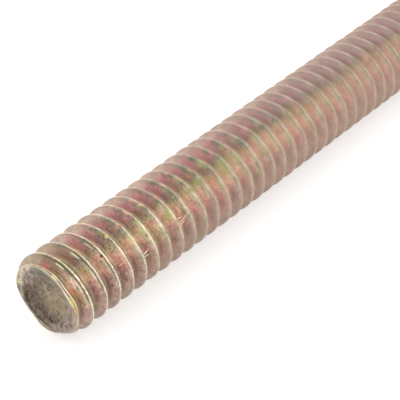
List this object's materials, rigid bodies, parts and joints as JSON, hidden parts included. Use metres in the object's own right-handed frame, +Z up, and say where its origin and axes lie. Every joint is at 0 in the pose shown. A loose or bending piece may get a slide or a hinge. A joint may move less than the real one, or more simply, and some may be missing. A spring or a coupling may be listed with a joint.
{
  "type": "threaded rod",
  "caption": "Fully threaded steel rod with a yellow chromate finish and a coarse right-hand thread from end to end, cupped by rolling at the near end and cut square at the far end.",
  "frame": {"origin": "on the rod's axis, halfway between its two ends", "axes": "+X along the rod from the cupped end to the plain end, +Z up; the rod's first crest crosses +Y at 0.68 mm from the cupped end"},
  "size_m": [0.0762, 0.0062, 0.0062],
  "materials": {
    "chromate": "yellow chromate over zinc plate, with pink, green and olive tints; worn pale on the crests"
  },
  "bodies": {
    "root": {"threaded_rod": "chromate"}
  },
  "joints": []
}
